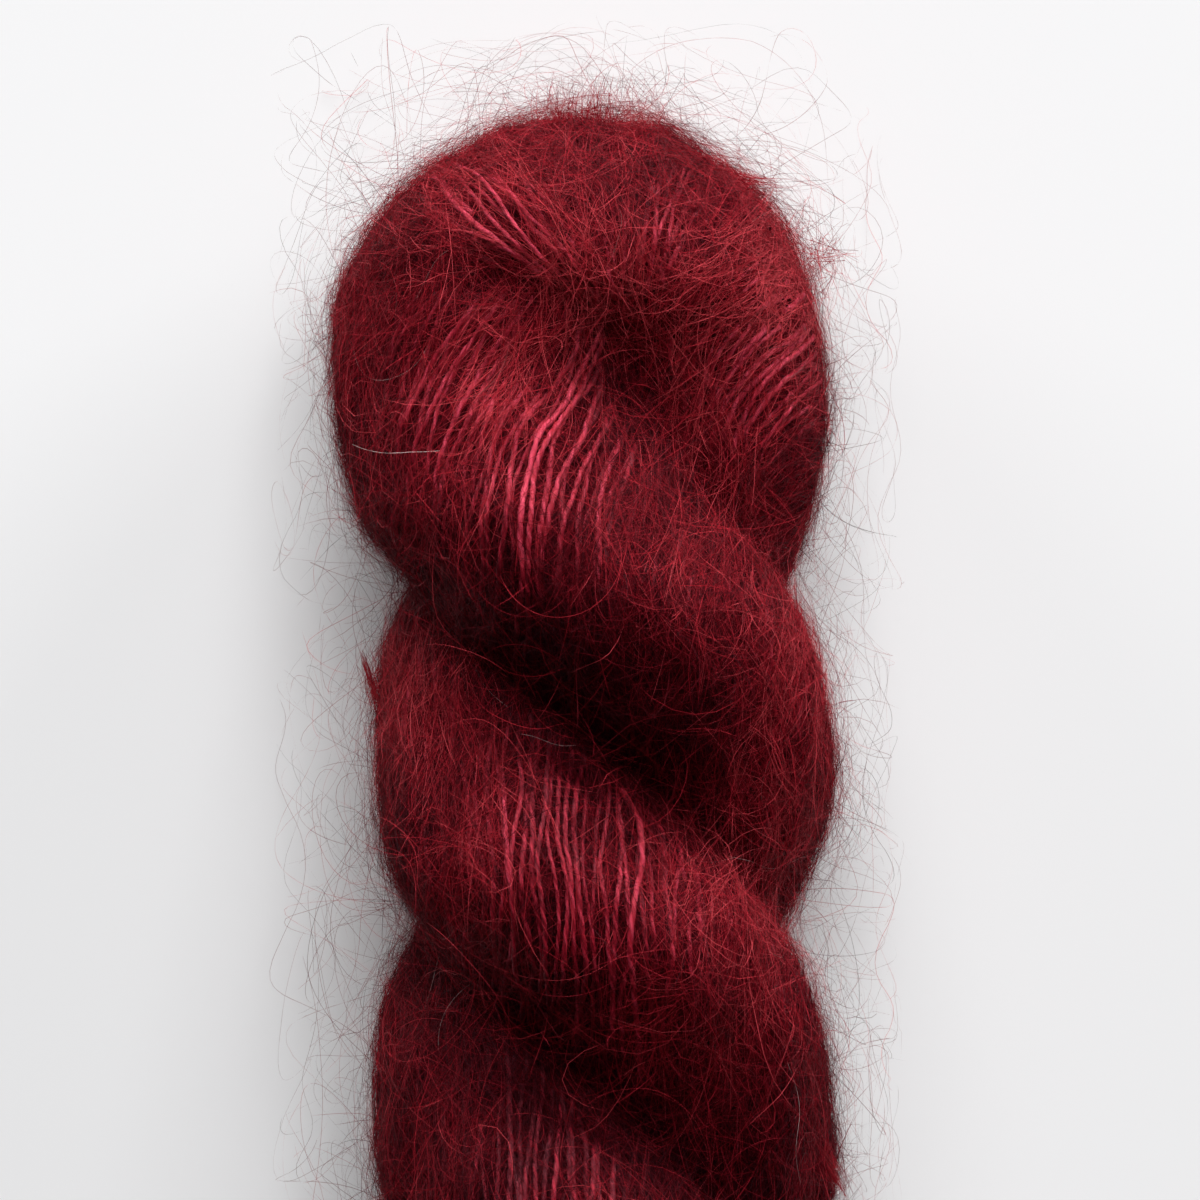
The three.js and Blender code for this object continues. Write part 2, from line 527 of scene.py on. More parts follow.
def dye_and_painted_light(points):
    """How much lighter or deeper the yarn's tone is: its uneven dye, and painted light and shade.

    The creases are painted in shade, deeper than their dye: the real fuzz in them is far denser than
    the hairs built here, and swallows the light. The patches are partly uneven dye and partly painted
    light and shade. Towards the tail the tone is darker."""
    # Painted shade in the creases between the plies.
    in_crease = (1 - smooth_step(0.05, 0.6, np.abs(ply_side(points)))) * (points[:, 1] < CREASE_END)
    deep_end = 1 - smooth_step(DEEPER_AT, LIGHTER_AT, points[:, 1])
    # The patches: uneven dye, and painted light and shade.
    patches = oval_patches(points, DYE_AND_LIGHT_PATCHES).sum(-1) * (points[:, 2] > middle_height(points[:, 1]))
    return DYE_DRIFT * dye_drift(points) - DEEPENING * deep_end - CREASE_SHADE * in_crease + patches


# %% Building the strands
TWIST_PITCH = 4.8
RIDGE, HOLLOW = 0.6, 0.43
WAIST = 0.12
SUNK_BARE, SUNK_FUZZY = 0.25, 0.75
FINE_SIDES, COARSE_SIDES = 8, 4
COARSE_STEPS = 4
FINE_BARENESS = 0.12
STRAND_TONE, STRAND_TONE_SPREAD = 0.36, 0.13
# Each end dives into the yarn below, this deep and over this length.
DIVE_DEPTH, DIVE_LENGTH = 2.2, 3.5
# The painted highlight on the mohair ply is weaker, as that ply is duller than the silk one.
MATT_PLY_HIGHLIGHT = 0.2
# In the bare patches the strands are drawn paler.
BARE_PALING = 0.3


def waves(lengths, sizes, at):
    """Smooth wander along a strand: a few sine waves of random phase."""
    return sum(
        size * np.sin(2 * np.pi * at / (length * chance.uniform(0.8, 1.25)) + chance.uniform(0, 2 * np.pi))
        for length, size in zip(lengths, sizes)
    )


def smoothed(rows, reach=4):
    padded = np.pad(rows, ((reach, reach), (0, 0)), mode="edge")
    weights = np.hanning(2 * reach + 3)[1:-1]
    weights /= weights.sum()
    return np.stack([np.convolve(padded[:, k], weights, "valid") for k in range(rows.shape[1])], -1)


def strand_line(path):
    """The centre line of a strand, its outward normals, how far along and how bare each point is."""
    points = np.array([step[0] for step in path])
    normals = unit(smoothed(np.array([step[1] for step in path])))
    points = smoothed(points, 3)
    at = np.arange(len(points)) * STEP
    along = unit(np.gradient(points, axis=0))
    beside = unit(np.cross(along, normals))
    bare = bareness(points, normals)
    proud = chance.choice([0.4, 0.0, -0.45], p=[0.12, 0.6, 0.28])
    wander = waves((38, 17, 8), (0.7, 0.2, 0.05), at)
    height = proud * np.minimum(bare * 2, 1) - SUNK_FUZZY
    height += (SUNK_FUZZY - SUNK_BARE) * np.minimum(bare * 1.6, 1)
    height += waves((27, 11), (0.16, 0.1), at)
    to_end = np.minimum(at, at[-1] - at)
    dive = DIVE_DEPTH * (1 - smooth_step(0, DIVE_LENGTH, to_end)) ** 1.5
    points = points + beside * wander[:, None] + normals * (height - dive)[:, None]
    points[:, 2] = np.maximum(points[:, 2], FLOOR_CLEARANCE + 0.35)
    return points, normals, at, bare


class Bundle:
    """Corners, faces and values of many tubes, gathered for one mesh."""

    def __init__(self):
        self.corners, self.faces, self.values, self.count = [], [], [], 0

    def add(self, corners, faces, values):
        self.corners.append(corners)
        self.faces.append(faces + self.count)
        self.values.append(values)
        self.count += len(corners)

    def triangles(self):
        return sum(len(faces) * (faces.shape[1] - 2) for faces in self.faces)


def twisted_tube(bundle, points, normals, at, sides, tone, pitch, start_turn, thickness):
    along = unit(np.gradient(points, axis=0))
    beside = unit(np.cross(along, normals))
    out = np.cross(beside, along)
    turn = start_turn + 2 * np.pi * at / pitch
    around = 2 * np.pi * np.arange(sides) / sides
    across = RIDGE * thickness * np.cos(around)
    through = thickness * np.sin(around) * (HOLLOW + WAIST * np.abs(np.sin(2 * around)))
    c, s = np.cos(turn)[:, None], np.sin(turn)[:, None]
    u = across * c - through * s
    v = across * s + through * c
    rings = points[:, None] + beside[:, None] * u[..., None] + out[:, None] * (v * 0.9)[..., None]
    rings[..., 2] = np.maximum(rings[..., 2], FLOOR_CLEARANCE)
    rows, cols = len(points), sides
    index = np.arange(rows * cols).reshape(rows, cols)
    beyond = np.roll(index, -1, axis=1)
    faces = np.stack([index[:-1], beyond[:-1], beyond[1:], index[1:]], -1).reshape(-1, 4)
    # Each ply's crown is painted lighter and the hollow between the plies darker: painted highlight and
    # painted shade.
    lobe = np.cos(around)
    painted_ply_light = np.tile(np.where(lobe > 0, lobe, MATT_PLY_HIGHLIGHT * np.abs(lobe)), rows)
    lay = np.repeat(along, cols, axis=0)
    values = np.stack([*lay.T, np.repeat(tone, cols), painted_ply_light, np.repeat(at, cols), np.tile(around, rows)], -1)
    bundle.add(rings.reshape(-1, 3), faces, values)


def give_values(mesh, name, values):
    """Stores a number or a vector for each corner of a mesh."""
    kind, field = ("FLOAT_VECTOR", "vector") if values.ndim == 2 else ("FLOAT", "value")
    attribute = mesh.attributes.new(name, kind, "POINT")
    attribute.data.foreach_set(field, values.astype(np.float32).ravel())


def mesh_piece(name, bundle, value_names, material):
    """One joined mesh in metres, riding on the skein. Its values start with the direction of its fibres."""
    corners = np.concatenate(bundle.corners) * MM
    faces = np.concatenate(bundle.faces)
    values = np.concatenate(bundle.values)
    mesh = bpy.data.meshes.new(name)
    mesh.vertices.add(len(corners))
    mesh.vertices.foreach_set("co", corners.astype(np.float32).ravel())
    mesh.loops.add(faces.size)
    mesh.loops.foreach_set("vertex_index", faces.astype(np.int32).ravel())
    mesh.polygons.add(len(faces))
    mesh.polygons.foreach_set("loop_start", np.arange(len(faces), dtype=np.int32) * faces.shape[1])
    mesh.update(calc_edges=True)
    mesh.shade_smooth()
    give_values(mesh, "lay", values[:, :3])
    for k, value_name in enumerate(value_names):
        give_values(mesh, value_name, values[:, 3 + k])
    mesh.materials.append(material)
    piece = bpy.data.objects.new(name, mesh)
    bpy.context.scene.collection.objects.link(piece)
    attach(piece, "root")
    print(name, "triangles:", bundle.triangles())
    return piece


def build_strands():
    upper, lower = Bundle(), Bundle()
    for path in strand_paths:
        points, normals, at, bare = strand_line(path)
        tone = chance.normal(STRAND_TONE, STRAND_TONE_SPREAD) + dye_and_painted_light(points) + BARE_PALING * bare
        pitch = TWIST_PITCH * chance.uniform(0.75, 1.3)
        start_turn, thickness = chance.uniform(0, 2 * np.pi), chance.uniform(0.5, 0.82)
        fine = bare > FINE_BARENESS
        edges = np.flatnonzero(np.diff(fine.astype(int))) + 1
        for first, last in zip([0, *edges], [*edges, len(points)]):
            last = min(last + 1, len(points))
            if last - first < 4:
                continue
            if fine[first]:
                take, sides, bundle = np.arange(first, last), FINE_SIDES, upper
            else:
                take, sides, bundle = np.arange(first, last, COARSE_STEPS), COARSE_SIDES, lower
                take = np.append(take, last - 1) if take[-1] != last - 1 else take
            twisted_tube(
                bundle, points[take], normals[take], at[take], sides, tone[take], pitch, start_turn, thickness
            )
    return upper, lower


upper_strands, lower_strands = build_strands()
print("strand triangles:", upper_strands.triangles(), lower_strands.triangles())

# %% [markdown]
# ## Colours and nodes
#
# Colours are written as a dyer would pick them off a screen, as sRGB hex, and turned to the linear
# values that Blender works in. One small function adds a node, sets it and links it.

# %% Helpers for materials
def colour(hex_code):
    parts = [int(hex_code[k : k + 2], 16) / 255 for k in (1, 3, 5)]
    return [v / 12.92 if v <= 0.04045 else ((v + 0.055) / 1.055) ** 2.4 for v in parts] + [1.0]


def add_node(tree, kind, settings=(), links=()):
    """Adds a node. Settings name its properties or sockets, and links its sockets and what feeds them."""
    node = tree.nodes.new(kind)
    for name, value in dict(settings).items():
        if isinstance(name, str) and hasattr(node, name):
            setattr(node, name, value)
        else:
            node.inputs[name].default_value = value
    for name, source in dict(links).items():
        tree.links.new(source, node.inputs[name])
    return node


def new_material(name):
    material = bpy.data.materials.new(name)
    material.use_nodes = True
    material.node_tree.nodes.clear()
    return material, material.node_tree


def fibre_finish(tree, settings, links):
    finish = add_node(tree, "ShaderNodeBsdfPrincipled", settings, links)
    add_node(tree, "ShaderNodeOutputMaterial", links={"Surface": finish.outputs["BSDF"]})
    return finish


def colour_steps(tree, source, steps):
    """A colour ramp from a list of places and hex colours."""
    ramp = add_node(tree, "ShaderNodeValToRGB", links={"Fac": source})
    elements = ramp.color_ramp.elements
    for k, (place, hex_code) in enumerate(steps):
        element = elements[k] if k < 2 else elements.new(place)
        element.position = place
        element.color = colour(hex_code)
    return ramp.outputs["Color"]


# %% [markdown]
# ## Silk and mohair strand
#
# Silk filaments lie straight along their ply and are smooth. A bundle of them spreads its highlight
# right across the strand but keeps it short along it, so the shader is anisotropic, with its tangent
# from the strand's own direction. The highlight is tinted by the red dye. The colour also holds
# painted light and shade: each ply's crown is painted lighter, and the hollow between the plies a deep
# wine red, as painted shade; the mohair ply's painted highlight is weaker.

# %% Material: dyed silk and mohair strand
SILK_IOR = 1.54
FILAMENT_RELIEF = 0.16


def silk_strand_material():
    material, tree = new_material("dyed_silk_strand")
    tone = add_node(tree, "ShaderNodeAttribute", {"attribute_name": "tone"}).outputs["Fac"]
    lay = add_node(tree, "ShaderNodeAttribute", {"attribute_name": "lay"}).outputs["Vector"]
    painted_ply_light = add_node(tree, "ShaderNodeAttribute", {"attribute_name": "painted_ply_light"}).outputs["Fac"]
    run = add_node(tree, "ShaderNodeAttribute", {"attribute_name": "run"}).outputs["Fac"]
    around = add_node(tree, "ShaderNodeAttribute", {"attribute_name": "around"}).outputs["Fac"]
    fibre_place = add_node(tree, "ShaderNodeCombineXYZ", links={"X": run, "Y": around, "Z": tone})
    # Filaments are a few hundredths of a millimetre thick; they are drawn coarser, as streaks 0.2 mm
    # wide and 1 mm long, so that they show.
    streaks = add_node(
        tree,
        "ShaderNodeMapping",
        {"Scale": (1.3, 2.6, 40.0)},
        {"Vector": fibre_place.outputs["Vector"]},
    )
    fibres = add_node(
        tree,
        "ShaderNodeTexNoise",
        {"Scale": 1.0, "Detail": 3.0, "Roughness": 0.6},
        {"Vector": streaks.outputs["Vector"]},
    )
    # The plies' painted highlight and painted shade are added to the tone.
    mixed = add_node(tree, "ShaderNodeMath", {"operation": "MULTIPLY_ADD", 1: 0.6}, {0: painted_ply_light, 2: tone})
    lively = add_node(
        tree, "ShaderNodeMath", {"operation": "ADD"}, {0: fibres.outputs["Fac"], 1: mixed.outputs[0]}
    )
    scaled = add_node(tree, "ShaderNodeMath", {"operation": "MULTIPLY", 1: 0.53}, {0: lively.outputs[0]})
    base = colour_steps(
        tree, scaled.outputs[0], [(0.0, "#1c0207"), (0.38, "#560814"), (0.62, "#901828"), (1.0, "#c23c52")]
    )
    bump = add_node(
        tree,
        "ShaderNodeBump",
        {"Strength": 0.8, "Distance": FILAMENT_RELIEF * MM},
        {"Height": fibres.outputs["Fac"]},
    )
    fibre_finish(
        tree,
        {
            "Roughness": 0.48,
            "IOR": SILK_IOR,
            "Specular IOR Level": 0.55,
            "Specular Tint": colour("#ff7e90"),
            "Anisotropic": 0.85,
            "Anisotropic Rotation": 0.25,
        },
        {"Base Color": base, "Normal": bump.outputs["Normal"], "Tangent": lay},
    )
    return material


STRAND_VALUES = ("tone", "painted_ply_light", "run", "around")
silk_strand = silk_strand_material()
mesh_piece("strands_upper", upper_strands, STRAND_VALUES, silk_strand)
mesh_piece("strands_lower", lower_strands, STRAND_VALUES, silk_strand)

# %% [markdown]
# ## The imported yarn inside
#
# Between the strands one sees other strands further down, in the shade. The rounded form, drawn in
# a little, stands for them: dark red, partly dye and partly painted shade, with streaks along the lay
# as wide as a strand.

# %% The imported yarn
DEEP, SHALLOW = 1.15, 0.45
STREAK_WIDTH, STREAK_LENGTH = 0.45, 9.0


def packed_yarn_material():
    material, tree = new_material("packed_mohair_yarn")

    def streaks(name, width, length, detail):
        place = add_node(tree, "ShaderNodeAttribute", {"attribute_name": name}).outputs["Vector"]
        stretched = add_node(
            tree, "ShaderNodeMapping", {"Scale": (1 / width, 1 / width, 1 / length)}, {"Vector": place}
        )
        noise = add_node(
            tree,
            "ShaderNodeTexNoise",
            {"Scale": 1.0, "Detail": detail, "Roughness": 0.7},
            {"Vector": stretched.outputs["Vector"]},
        )
        return noise.outputs["Fac"]

    def blend(factor, first, second):
        mix = add_node(tree, "ShaderNodeMix", {"data_type": "FLOAT"}, {0: factor, 2: first, 3: second})
        return mix.outputs[0]

    in_head = add_node(tree, "ShaderNodeAttribute", {"attribute_name": "in_head"}).outputs["Fac"]
    slanting = add_node(tree, "ShaderNodeAttribute", {"attribute_name": "slanting"}).outputs["Fac"]
    lain = [streaks(name, STREAK_WIDTH, STREAK_LENGTH, 4.0) for name in ("straight", "slanted", "fanned")]
    along_lay = blend(in_head, blend(slanting, lain[0], lain[1]), lain[2])
    # Much deeper than the strands: partly the dye, partly painted shade of the yarn that lies below them.
    base = colour_steps(
        tree, along_lay, [(0.34, "#0c0103"), (0.46, "#300309"), (0.56, "#500812"), (0.7, "#720f1e")]
    )
    bump = add_node(tree, "ShaderNodeBump", {"Strength": 1.0, "Distance": 0.0007}, {"Height": along_lay})
    fibre_finish(
        tree,
        {"Roughness": 0.9, "IOR": SILK_IOR, "Specular IOR Level": 0.03},
        {"Base Color": base, "Normal": bump.outputs["Normal"]},
    )
    return material


def build_core():
    mesh = rounded_form(skein_node, 1, "packed_yarn")
    normals = corner_normals(mesh)
    points = loosened(mesh, 10)
    in_head, slanting = lay_zones(points, normals)
    for name, places in zip(("straight", "slanted", "fanned"), lay_places(points)):
        give_values(mesh, name, places)
    give_values(mesh, "in_head", in_head)
    give_values(mesh, "slanting", slanting)
    bare = np.minimum(bareness(points, normals) * 1.5, 1)
    points -= normals * (SHALLOW + (DEEP - SHALLOW) * bare)[:, None]
    points[:, 2] = np.maximum(points[:, 2], 3 * FLOOR_CLEARANCE)
    mesh.vertices.foreach_set("co", (points * MM).astype(np.float32).ravel())
    mesh.update()
    mesh.shade_smooth()
    mesh.materials.clear()
    mesh.materials.append(packed_yarn_material())
    core = bpy.data.objects.new("packed_yarn", mesh)
    bpy.context.scene.collection.objects.link(core)
    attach(core, "root")
    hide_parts("skein")
    return core


core = build_core()
print("packed yarn faces:", len(core.data.polygons))

# %% [markdown]
# ## Mohair hairs
#
# Every strand sheds mohair hairs along its whole length. Most lie back over the strands, roughly
# along them; some curl freely. Each is a narrow ribbon that bends as it goes: its heading has a steady
# curl and a random one, and it is held near a height above the surface. Blender's own hair would be
# dropped by the export, so they are mesh ribbons, joined by the thousand.

# %% Growing hairs
# Hairs that stray this far from the skein, in mm, turn back, as the room for them is not endless.
WALLS = np.array([42.0, 135.0, 58.0])
# At each step a hair keeps this share of its random curl, and this much new curl is added.
CURL_KEPT, CURL_ADDED = 0.82, 0.57


def nearest_surface(points):
    found = np.empty_like(points)
    normals = np.empty_like(points)
    for i, point in enumerate(points):
        place, normal, _, _ = surface.find_nearest(point)
        found[i] = place
        normals[i] = normal
    return found, normals


def grow(roots, normals, headings, lengths, steps, curl, steady, heights, hold, walls=WALLS):
    """Points and outward normals of many hairs, all grown at once, in mm. Curls are in radians a mm."""
    count = len(roots)
    stride = (lengths / steps)[:, None]
    place, heading = roots.copy(), unit(headings)
    bend = chance.normal(0, 1, (count, 2)) * curl[:, None]
    plane = chance.uniform(0, 2 * np.pi, count)
    steady = np.stack([np.cos(plane), np.sin(plane)], -1) * steady[:, None]
    points, facings = [place.copy()], [normals.copy()]
    out = normals
    for k in range(1, steps + 1):
        bend = bend * CURL_KEPT + chance.normal(0, CURL_ADDED, (count, 2)) * curl[:, None]
        beside = np.cross(out, heading)
        turn = (bend * [1, 0.5] + steady) * stride
        heading = unit(heading + beside * turn[:, :1] + out * turn[:, 1:])
        place = place + heading * stride
        found, out = nearest_surface(place)
        height = ((place - found) * out).sum(-1)
        wanted = heights * min(1.0, 1.6 * k / steps)
        lift = np.clip((wanted - height) * hold, -0.5 * stride[:, 0], None)
        lift = np.where(height < 0.05, np.maximum(lift, 0.08 - height), lift)
        place = place + out * lift[:, None]
        heading = unit(heading + out * np.clip(lift[:, None] * 0.25, -0.3, 0.3))
        low = FLOOR_CLEARANCE + 0.05 + 0.5 * chance.random(count)
        place[:, 2] = np.maximum(place[:, 2], low)
        beyond = np.abs(place) - walls
        heading = unit(heading - np.sign(place) * np.clip(beyond, 0, None) * 0.3)
        points.append(place.copy())
        facings.append(out.copy())
    points = np.stack(points, 1)
    for _ in range(2):
        points[:, 1:-1] = 0.5 * points[:, 1:-1] + 0.25 * (points[:, :-2] + points[:, 2:])
    return points, np.stack(facings, 1)


def ribbons(bundle, points, facings, width, tones, turn_spread):
    """A narrow ribbon along each hair that ends in a point, its face turned outward but for a random roll."""
    count, rows = points.shape[:2]
    along = unit(np.gradient(points, axis=1))
    beside = unit(np.cross(along, facings))
    out = np.cross(beside, along)
    roll = chance.normal(0, turn_spread, (count, 1, 1)) + chance.normal(0, 0.25, (count, rows, 1))
    across = beside * np.cos(roll) + out * np.sin(roll)
    taper = np.linspace(1, 0.5, rows)[None, :, None]
    half = across * taper * width[:, None, None] / 2
    pairs = np.stack([points - half, points + half], 2)[:, :-1].reshape(count, -1, 3)
    corners = np.concatenate([pairs, points[:, -1:]], 1)
    corners[..., 2] = np.maximum(corners[..., 2], FLOOR_CLEARANCE)
    each = corners.shape[1]
    strip = np.array([(k, k + 1, k + 2) if k % 2 else (k + 1, k, k + 2) for k in range(each - 2)])
    faces = np.arange(count)[:, None, None] * each + strip
    lay = np.concatenate([np.repeat(along[:, :-1], 2, axis=1), along[:, -1:]], 1)
    values = np.concatenate([lay.reshape(-1, 3), np.repeat(tones, each)[:, None]], -1)
    bundle.add(corners.reshape(-1, 3), faces.reshape(-1, 3), values)


# %% Places for hairs
def scatter(count, weights):
    """Random places on the surface, with their normals and the direction of lay."""
    picked = chance.choice(len(face_middles), count, p=weights / weights.sum())
    jitter = chance.normal(0, 0.45, (count, 3))
    normals = face_normals[picked]
    jitter -= normals * (jitter * normals).sum(-1, keepdims=True)
    return face_middles[picked] + jitter, normals, face_lay[picked]


# Neighbouring hairs lie in tufts, which lean one way or another.
tuft_lean, tuft_lift = drift(9, 12), drift(7, 9)


def turned(headings, normals, angles):
    c, s = np.cos(angles)[:, None], np.sin(angles)[:, None]
    return headings * c + np.cross(normals, headings) * s


# %% Fuzz over the strands
ROOT_DEPTH = 0.3
HIGHEST_FUZZ = 5
FUZZ_HOLD = 0.5


def hair_weights(bare_share):
    """Where hairs grow: more of them on top and towards the head, fewer where the silk is bare."""
    seen = 0.3 + 0.7 * smooth_step(-0.5, 0.3, face_normals[:, 2])
    seen *= 0.5 + 0.5 * smooth_step(-60, -25, face_middles[:, 1])
    return face_areas * seen * (1 - bare_share * np.minimum(1.25 * face_bare, 1))


# Hairs bunch into streaks along the lay, some lighter and some darker, some higher and some lower.
fine_streaks, broad_streaks = drift(1.5, 12), drift(3.4, 18)


def hair_streaks(points, normals):
    in_head, slanting = lay_zones(points, normals)
    straight, slanted, fanned = lay_places(points)
    places = np.where(in_head[:, None], fanned, np.where(slanting[:, None], slanted, straight))[:, [0, 2, 1]]
    return 0.6 * fine_streaks(places) + 0.6 * broad_streaks(places)


def fuzz_piece(name, count, steps, mean_length, wild_share, proud, width, bare_share, tone):
    roots, normals, lay = scatter(count, hair_weights(bare_share))
    wild = chance.random(count) < wild_share
    angles = np.where(wild, chance.uniform(-1.5, 1.5, count), chance.normal(0, 0.18, count))
    headings = turned(lay * chance.choice([-1, 1], count)[:, None], normals, angles + 0.3 * tuft_lean(roots))
    lengths = chance.gamma(5, mean_length / 5, count).clip(0.4 * mean_length, 2.2 * mean_length)
    curl = np.where(wild, 0.2, 0.08) * chance.uniform(0.5, 1.7, count)
    steady = np.where(wild, 0.12, 0.04) * chance.normal(0, 1, count)
    heights = chance.gamma(1.6, np.where(wild, 2 * proud, proud) / 1.6, count).clip(0, 9 * proud) + 0.1
    streaks = hair_streaks(roots, normals)
    heights *= np.exp(0.5 * tuft_lift(roots) + 0.35 * streaks)
    points, facings = grow(
        roots - normals * ROOT_DEPTH,
        normals,
        headings + normals * 0.08,
        lengths,
        steps,
        curl,
        steady,
        heights.clip(0, HIGHEST_FUZZ),
        FUZZ_HOLD,
    )
    bundle = Bundle()
    tones = chance.normal(tone, 0.2, count) + dye_and_painted_light(roots) + 0.32 * streaks
    ribbons(bundle, points, facings, width * chance.uniform(0.7, 1.4, count), tones, 0.45)
    return mesh_piece(name, bundle, ("tone",), dyed_mohair)


def mohair_material(name, steps):
    """Mohair is smooth and lustrous, so its highlight too spreads across each hair."""
    material, tree = new_material(name)
    tone = add_node(tree, "ShaderNodeAttribute", {"attribute_name": "tone"}).outputs["Fac"]
    lay = add_node(tree, "ShaderNodeAttribute", {"attribute_name": "lay"}).outputs["Vector"]
    fibre_finish(
        tree,
        {
            "Roughness": 0.6,
            "IOR": SILK_IOR,
            "Specular IOR Level": 0.2,
            "Specular Tint": colour("#ff7080"),
            "Anisotropic": 0.8,
            "Anisotropic Rotation": 0.25,
        },
        {"Base Color": colour_steps(tree, tone, steps), "Tangent": lay},
    )
    return material


DYED_STEPS = [(0.0, "#220308"), (0.5, "#6c0d18"), (0.85, "#981b26"), (1.0, "#b43b42")]
dyed_mohair = mohair_material("dyed_mohair", DYED_STEPS)
# Name, hairs, steps in each, mean length, share that curls freely, mean height, width, how far the
# hairs keep off the bare silk, and mean tone. The lowest are the darkest, a painted shade for the
# shade that the others cast on them.
fuzz_piece("under_fuzz", 34000, 2, 6.5, 0.08, 0.1, 0.1, 0.8, 0.28)
fuzz_piece("short_fuzz", 36000, 3, 9.5, 0.1, 0.32, 0.07, 0.8, 0.55)
fuzz_piece("long_fuzz", 16500, 6, 16.0, 0.35, 0.75, 0.055, 0.78, 0.66)

# %% Halo round the outline
# Room for the loops, in mm. They flatten softly over its last millimetres.
HALO_ROOM = np.array([47.2, 141.8, 64.3])
HALO_EASE = np.array([5.0, 6.0, 5.0])
HALO_CURL = 0.025
HALO_WIDTHS, HALO_TONES = (0.035, 0.062), (0.1, 0.95)
# Loose hairs turn about their own length far more than hairs that lie on the yarn.
LOOSE_ROLL = 1.2


def eased(points):
    beyond = np.abs(points) - (HALO_ROOM - HALO_EASE)
    inside = np.minimum(np.abs(points), HALO_ROOM - HALO_EASE)
    return np.sign(points) * (inside + HALO_EASE * np.tanh(np.maximum(beyond, 0) / HALO_EASE / 1.6))


def halo_piece(name, count, steps, lengths, radii, heights, lean, rise, hold):
    """Long loose hairs, most of them along the outline. They curl, and turn back at walls of their own."""
    outward = 1 - np.abs(face_normals[:, 2])
    weights = face_areas * (0.08 + outward**2) * (0.4 + 0.6 * smooth_step(-70, -20, face_middles[:, 1]))
    weights *= 1 + 1.2 * smooth_step(100, 120, face_middles[:, 1])
    roots, normals, _ = scatter(count, weights)
    rim = unit(np.cross(normals, [0.0, 0.0, 1.0]))
    headings = turned(rim * chance.choice([-1, 1], count)[:, None], normals, chance.normal(0, lean, count))
    lengths = chance.uniform(*lengths, count)
    walls = HALO_ROOM - 2 - chance.gamma(2, 2.0, (count, 1)).clip(0, 9)
    headings = headings + normals * chance.uniform(*rise, (count, 1))
    steady = 1 / chance.uniform(*radii, count)
    heights = chance.gamma(2, heights / 2, count)
    curl = np.full(count, HALO_CURL)
    points, facings = grow(roots, normals, headings, lengths, steps, curl, steady, heights, hold, walls)
    widths, tones = chance.uniform(*HALO_WIDTHS, count), chance.uniform(*HALO_TONES, count)
    bundle = Bundle()
    ribbons(bundle, eased(points), facings, widths, tones, LOOSE_ROLL)
    return mesh_piece(name, bundle, ("tone",), dyed_mohair)


# Name, hairs, steps in each, shortest and longest, least and greatest radius of their curl, mean
# height, spread of their heading, how steeply they rise, and how well they keep their height.
halo_piece("outline_fuzz", 3000, 12, (12, 36), (9, 50), 1.3, 0.3, (0, 0.2), 0.3)
halo_piece("halo_curls", 1200, 24, (24, 60), (5, 13), 3.0, 0.6, (0, 0.6), 0.12)
halo_piece("halo_loops", 560, 44, (40, 100), (5, 14), 5.0, 0.8, (0.1, 1.0), 0.07)

# %% [markdown]
# ## Tufts and pale hairs
#
# Here and there a lock of mohair has worked loose and stands off the outline, and a few hairs took
# no dye. They are placed one by one, as they are what the eye uses to tell this skein from another.

# %% Loose tufts
TUFTS = [
    # base across, along, up; tip across, along, up; hairs; spread at the base and at the tip
    ((-29.3, 43.5, 26), (-31.2, 50.0, 27), 80, 0.5, 0.15),
    ((16.0, 117.0, 27), (26.5, 115.5, 26), 130, 1.3, 0.6),
    ((29.5, -15.0, 29), (36.5, -26.0, 28), 140, 1.3, 0.6),
    ((-4.0, 120.0, 25), (-3.5, 129.5, 26), 170, 2.8, 2.0),
    ((1.0, 120.5, 25), (2.0, 130.0, 26), 120, 1.6, 1.2),
    ((5.0, 120.5, 26), (7.5, 127.5, 26), 130, 2.8, 2.2),
    ((-17.0, 114.0, 27), (-22.0, 119.0, 27), 90, 2.2, 1.6),
    ((31.0, 104.0, 25), (35.5, 107.0, 25), 80, 2.4, 1.6),
]
TUFT_STEPS = 6
TUFT_ROLL = 0.9


def tuft_piece():
    bundle = Bundle()
    for base, tip, hairs, base_spread, tip_spread in TUFTS:
        base, tip = np.array(base, float), np.array(tip, float)
        share = np.linspace(0, 1, TUFT_STEPS + 1)[None, :, None]
        starts = base + chance.normal(0, base_spread, (hairs, 1, 3))
        ends = base + (tip - base) * chance.uniform(0.5, 1.1, (hairs, 1, 1))
        ends = ends + chance.normal(0, tip_spread, (hairs, 1, 3))
        bow = chance.normal(0, 0.3 + 0.4 * tip_spread, (hairs, 1, 3)) * np.sin(np.pi * share)
        points = starts * (1 - share) ** 1.4 + ends * (1 - (1 - share) ** 1.4) + bow
        facings = np.broadcast_to(np.array([0.0, 0.0, 1.0]), points.shape)
        widths, tones = chance.uniform(0.04, 0.09, hairs), chance.uniform(0.5, 1, hairs)
        ribbons(bundle, points, facings, widths, tones, TUFT_ROLL)
    return mesh_piece("loose_tufts", bundle, ("tone",), dyed_mohair)


tuft_piece()

# %% Pale hairs
PALE_HAIRS = [
    # across, along, heading in degrees from the +X axis, length
    (-26.5, 97.0, 80, 14),
    (-23.5, 99.5, 60, 11),
    (-20.5, -5.0, 105, 17),
    (-22.5, 0.5, 70, 10),
    (14.5, 21.5, 340, 9),
    (24.5, 29.5, 110, 7),
    (3.5, 104.5, 70, 8),
    (26.0, 12.0, 260, 12),
    (-14.0, 58.0, 200, 9),
]
PALE_STRAYS = 26
PALE_HAIR_STEPS = 14
PALE_TONES = [(0.0, "#765050"), (0.5, "#8f7676"), (1.0, "#a89896")]


